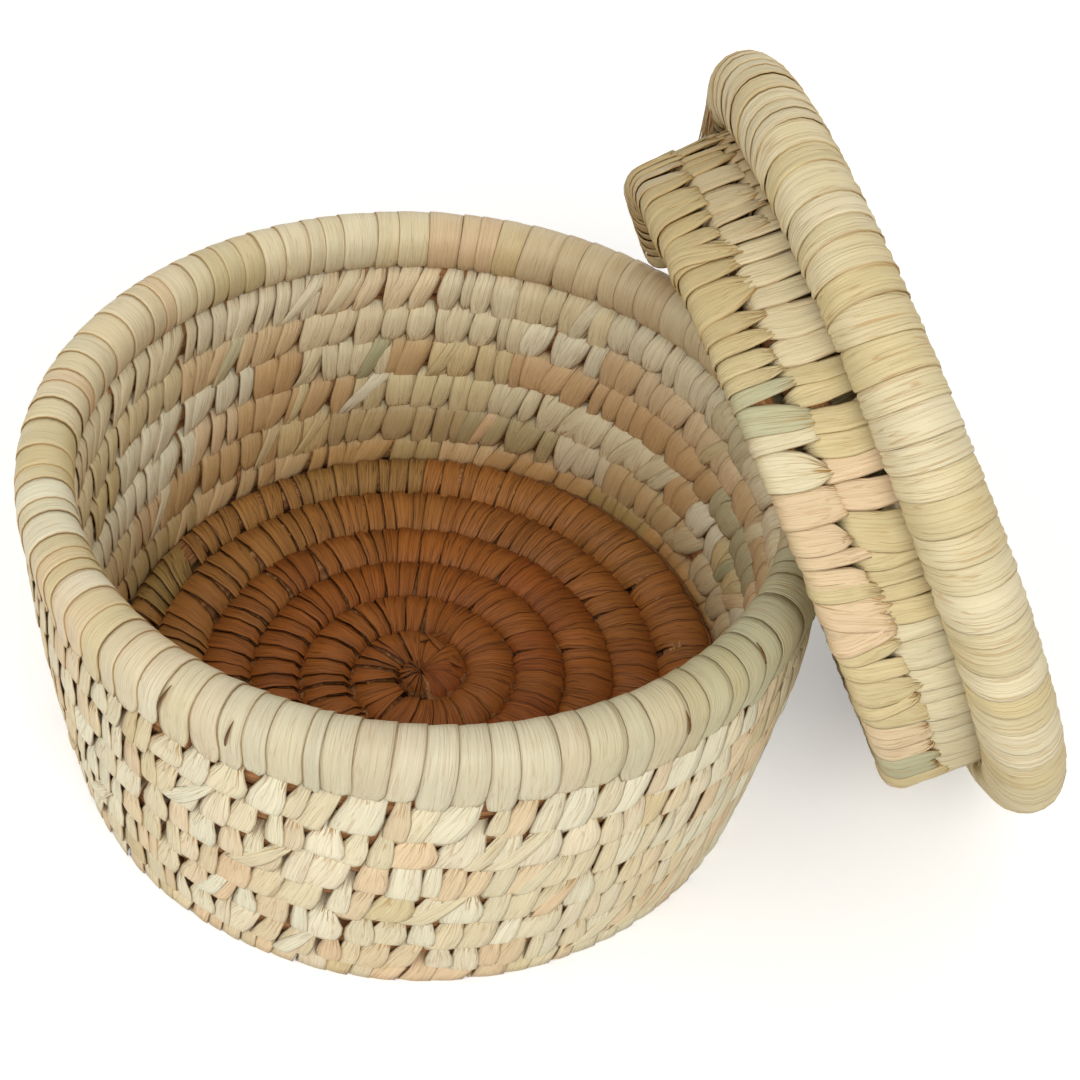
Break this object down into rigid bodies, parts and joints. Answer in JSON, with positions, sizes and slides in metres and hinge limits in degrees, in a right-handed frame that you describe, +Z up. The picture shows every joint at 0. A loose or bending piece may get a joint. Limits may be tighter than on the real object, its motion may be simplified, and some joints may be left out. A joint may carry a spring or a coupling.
{
  "type": "tortilla warmer basket",
  "caption": "Round coiled palm-leaf tortilla warmer basket with a thick wrapped rim and a lid whose collar plugs into the mouth; the lid is off and leans on the basket.",
  "frame": {"origin": "centre of the basket's base on the table", "axes": "+Z up out of the basket's mouth; the lid leans on the +X side of the rim, turned a little towards +Y"},
  "size_m": [0.3596, 0.3029, 0.2544],
  "materials": {
    "floor_leaf": "matte",
    "wall_leaf": "matte",
    "rim_leaf": "satin",
    "lid_leaf": "satin",
    "fibre_core": "matte"
  },
  "bodies": {
    "basket": {"floor_coil": "floor_leaf", "wall_coil": "wall_leaf", "rim_coil": "rim_leaf"},
    "lid": {"lid_disc_coil": "lid_leaf", "lid_collar_coil": "wall_leaf", "lid_rim_coil": "lid_leaf"}
  },
  "joints": [
    {"name": "lid_lift", "type": "slide", "parent": "basket", "child": "lid", "axis": [0, 0, 1], "range_m": [0, 0.15]}
  ]
}
